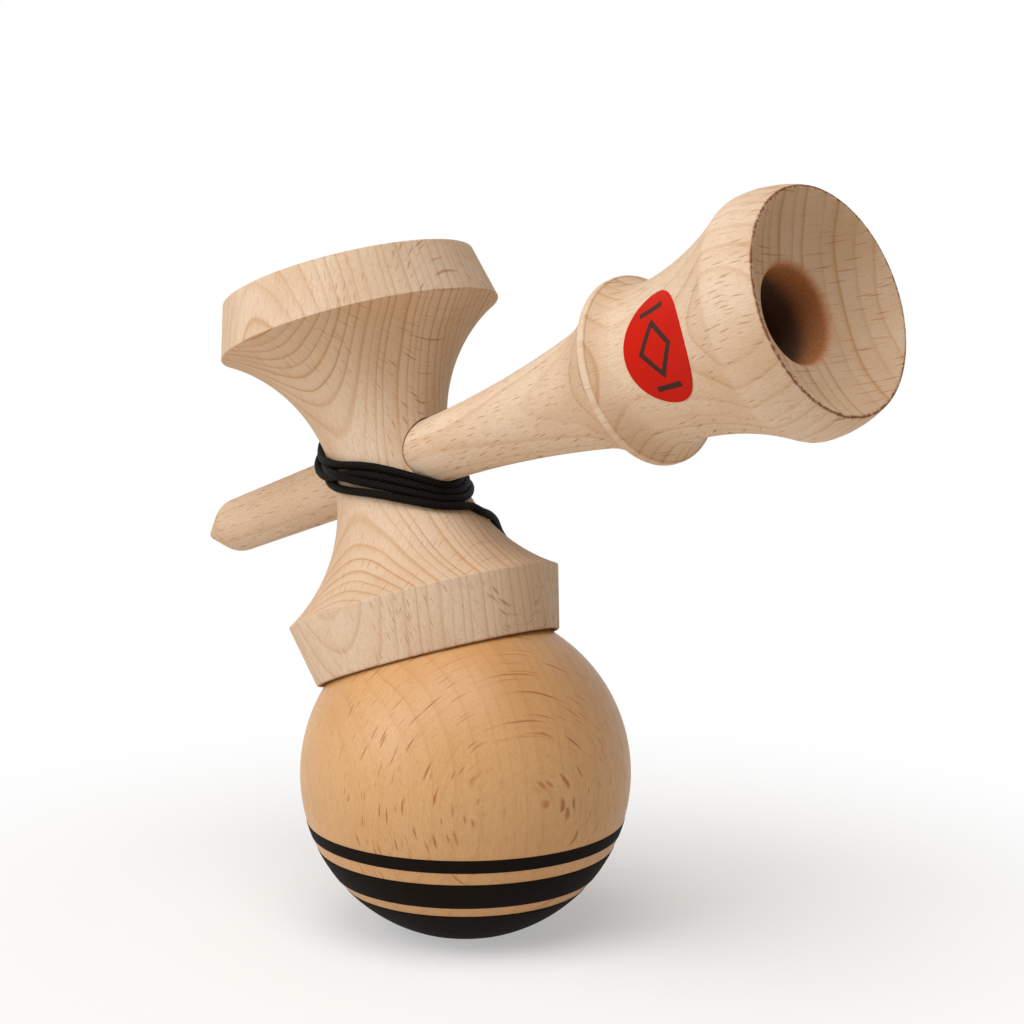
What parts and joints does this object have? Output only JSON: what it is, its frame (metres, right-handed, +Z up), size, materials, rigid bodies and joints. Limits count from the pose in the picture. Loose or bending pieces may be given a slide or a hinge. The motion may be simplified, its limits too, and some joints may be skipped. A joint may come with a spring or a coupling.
{
  "type": "cup and ball toy",
  "caption": "Wooden cup and ball toy: spiked handle with a base cup, a cross-piece with two cups, and a banded drilled ball on a wound string.",
  "frame": {"origin": "centre of the spike hole's mouth in the ball's foot, on the floor that the toy stands on", "axes": "+Z up along the ball's axis, +X the level heading of the handle towards its base cup"},
  "size_m": [0.1538, 0.06, 0.1362],
  "materials": {
    "honey_wood": "satin varnished beech",
    "pale_wood": "bare sanded beech",
    "black_paint": "matte paint",
    "black_cord": "braided cord",
    "black_bead": "moulded",
    "red_label": "printed film"
  },
  "bodies": {
    "ball": {"ball": "honey_wood", "narrow_stripe": "black_paint", "wide_band": "black_paint", "painted_foot": "black_paint"},
    "bead": {"string_bead": "black_bead", "bead_knot": "black_cord", "string_lead": "black_cord", "string_run": "black_cord"},
    "cross_piece": {"cross_piece": "pale_wood", "string_winding": "black_cord", "string_tail": "black_cord", "string_anchor": "black_cord", "anchor_knot": "black_cord"},
    "handle": {"handle": "pale_wood", "label": "red_label"}
  },
  "joints": [
    {"name": "ball_spin", "type": "hinge", "parent": "ball", "child": "bead", "pos_m": [0, 0, 0.0422], "axis": [0, 0, 1], "continuous": true},
    {"name": "cup_lift", "type": "slide", "parent": "bead", "child": "cross_piece", "axis": [-0.3483, 0.0366, 0.9367], "range_m": [0, 0.02], "deforming": ["string_run"]},
    {"name": "handle_pull", "type": "slide", "parent": "cross_piece", "child": "handle", "axis": [0.9373, 0, 0.3486], "range_m": [0, 0.07]}
  ]
}
